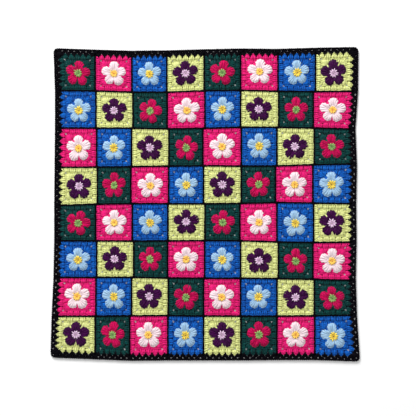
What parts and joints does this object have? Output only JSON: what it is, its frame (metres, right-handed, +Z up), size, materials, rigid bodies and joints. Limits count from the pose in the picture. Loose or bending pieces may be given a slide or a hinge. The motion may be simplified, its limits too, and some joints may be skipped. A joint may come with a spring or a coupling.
{
  "type": "crochet blanket",
  "caption": "Flat square crochet blanket of flower squares joined by a dark lattice, with a toothed and corded border; lies flat or drapes as a cover.",
  "frame": {"origin": "middle of the underside, which lies on the surface", "axes": "+Z up out of the face with the raised flowers, +Y towards the blanket's top edge, +X to the right"},
  "size_m": [0.8328, 0.8474, 0.0066],
  "materials": {
    "black_yarn": "black cotton yarn, crocheted",
    "green_yarn": "dark green cotton yarn, crocheted",
    "pink_yarn": "bright pink cotton yarn, crocheted",
    "blue_yarn": "strong blue cotton yarn, crocheted",
    "lime_yarn": "pale lime cotton yarn, crocheted",
    "crimson_yarn": "crimson cotton yarn, crocheted petals",
    "white_yarn": "white cotton yarn with a blush, crocheted petals",
    "sky_yarn": "light blue cotton yarn, crocheted petals",
    "plum_yarn": "dark plum cotton yarn, crocheted petals",
    "leaf_yarn": "light green cotton yarn, flower centres",
    "orange_yarn": "golden orange cotton yarn, flower centres",
    "yellow_yarn": "yellow cotton yarn, flower centres",
    "lilac_yarn": "lilac cotton yarn, flower centres",
    "squares": "crochet squares in green, pink, blue and lime with a flower in each"
  },
  "bodies": {
    "root": {"strip_1": "squares", "strip_2": "squares", "strip_3": "squares", "strip_4": "squares", "strip_5": "squares", "strip_6": "squares", "strip_7": "squares", "strip_8": "squares", "joins": "black_yarn", "border": "black_yarn"}
  },
  "joints": []
}
